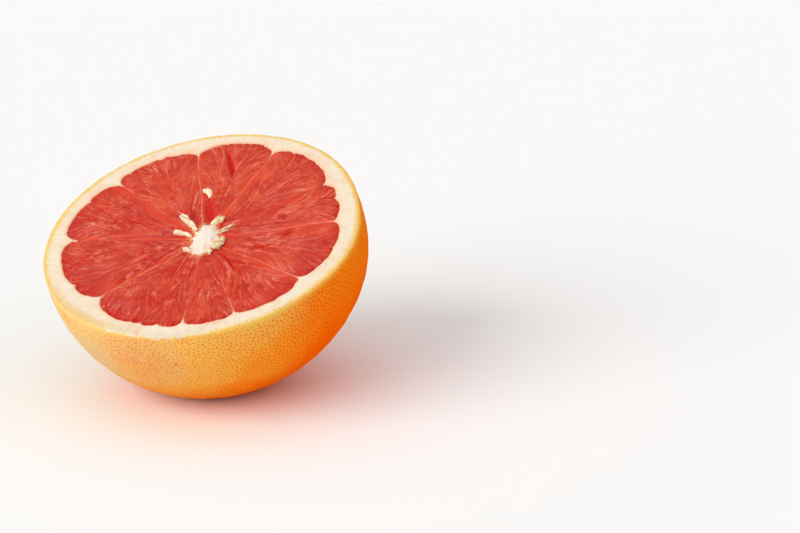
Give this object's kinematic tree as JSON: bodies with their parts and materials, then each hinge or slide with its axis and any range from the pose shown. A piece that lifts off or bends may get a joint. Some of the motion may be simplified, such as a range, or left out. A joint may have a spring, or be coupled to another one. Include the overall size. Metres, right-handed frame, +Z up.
{
  "type": "grapefruit half",
  "caption": "Half of a ripe red grapefruit, cut across, showing rind, pith and pulp segments; lies on its rounded side, cut face tipped up.",
  "frame": {"origin": "centre of the small flat spot that the half rests on", "axes": "+Z up; the cut face leans 22 degrees from level, towards -Y and slightly -X"},
  "size_m": [0.1031, 0.1011, 0.0721],
  "materials": {
    "rind": "satin",
    "pith": "matte",
    "pulp": "gloss"
  },
  "bodies": {
    "root": {"rind": "rind", "pith": "pith", "segment_01": "pulp", "segment_02": "pulp", "segment_03": "pulp", "segment_04": "pulp", "segment_05": "pulp", "segment_06": "pulp", "segment_07": "pulp", "segment_08": "pulp", "segment_09": "pulp", "segment_10": "pulp", "segment_11": "pulp"}
  },
  "joints": []
}
